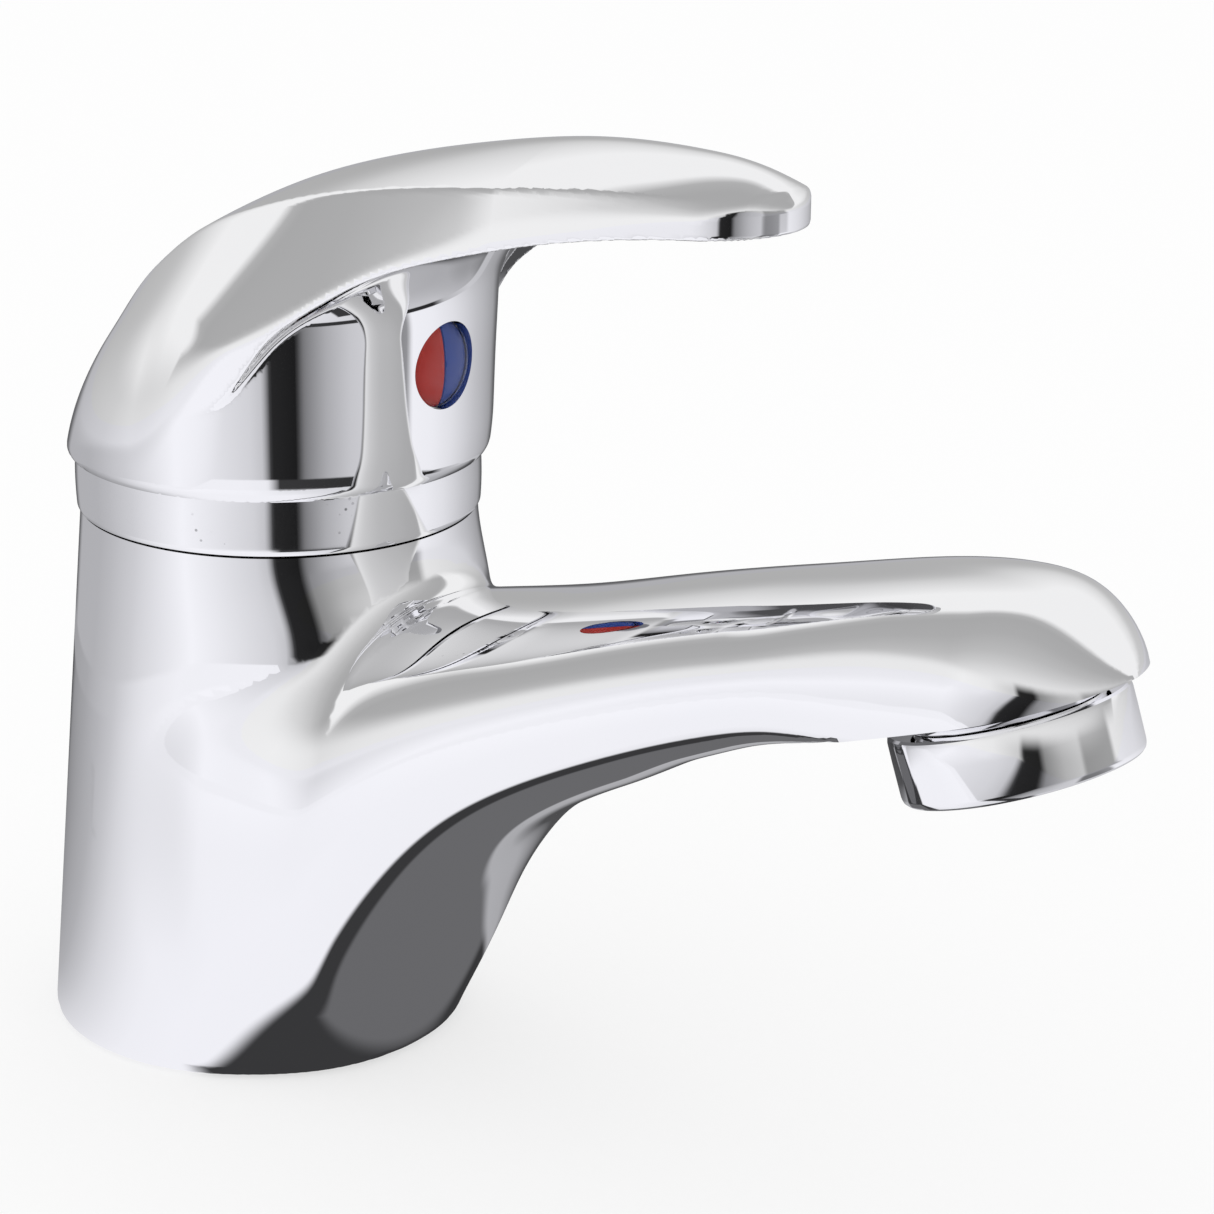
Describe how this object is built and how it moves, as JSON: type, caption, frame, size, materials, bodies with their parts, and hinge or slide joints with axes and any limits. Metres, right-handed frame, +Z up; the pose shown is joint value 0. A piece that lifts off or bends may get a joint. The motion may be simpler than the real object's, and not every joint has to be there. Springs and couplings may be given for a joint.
{
  "type": "bathroom mixer faucet",
  "caption": "Single-lever deck-mounted basin mixer: round column, rising arched spout with tilted aerator, domed cover ring and curved lever handle.",
  "frame": {"origin": "middle of the round base, on the plane of the deck it stands on", "axes": "+X along the spout, away from the column; +Z up; +Y to the spout's left, the cold side"},
  "size_m": [0.1481, 0.0516, 0.1176],
  "materials": {
    "chrome_body": "mirror-polished chrome plate on cast brass",
    "chrome_handle": "mirror-polished chrome plate on cast zinc",
    "chrome_ring": "polished chrome plate with fine pits",
    "chrome_collar": "polished chrome plate on turned brass",
    "brass": "machined brass",
    "steel": "plain stainless steel",
    "rubber": "black moulded rubber",
    "ceramic": "lapped ceramic",
    "white_plastic": "moulded white plastic",
    "grey_plastic": "moulded grey plastic",
    "red_mark": "glossy red plastic",
    "blue_mark": "glossy blue plastic",
    "clear_cap": "clear domed plastic"
  },
  "bodies": {
    "body": {"body_casting": "chrome_body", "base_seal_ring": "rubber", "cartridge_base": "grey_plastic", "hot_inlet_seal": "rubber", "cold_inlet_seal": "rubber", "outlet_seal": "rubber", "fixed_ceramic_disc": "ceramic", "cartridge_housing": "white_plastic", "temperature_stop_ring": "grey_plastic", "nut_o_ring": "rubber", "retaining_nut": "brass", "dome_ring": "chrome_ring", "aerator_collar": "chrome_collar", "aerator_gasket": "rubber", "aerator_screen": "steel", "aerator_insert": "white_plastic", "aerator_flow_plate": "grey_plastic"},
    "rotor": {"stem_rotor": "grey_plastic", "rotor_o_ring": "rubber", "pivot_pin": "steel"},
    "lever": {"lever_stem": "brass", "lever_handle": "chrome_handle", "handle_set_screw": "steel", "indicator_carrier": "white_plastic", "indicator_red": "red_mark", "indicator_blue": "blue_mark", "indicator_lens": "clear_cap"},
    "disc": {"disc_carrier": "white_plastic", "moving_ceramic_disc": "ceramic"}
  },
  "joints": [
    {"name": "temperature_turn", "type": "hinge", "parent": "body", "child": "rotor", "pos_m": [0.0056, 0, 0.0708], "axis": [0, 0, 1], "range_deg": [-50, 50]},
    {"name": "flow_lift", "type": "hinge", "parent": "rotor", "child": "lever", "pos_m": [0.0056, 0, 0.0708], "axis": [0, -1, 0], "range_deg": [0, 15]},
    {"name": "disc_slide", "type": "slide", "parent": "rotor", "child": "disc", "axis": [1, 0, 0], "range_m": [0, 0.0046]}
  ],
  "couplings": [
    {"joint": "disc_slide", "follows": "flow_lift", "m_per_rad": 0.0175}
  ]
}
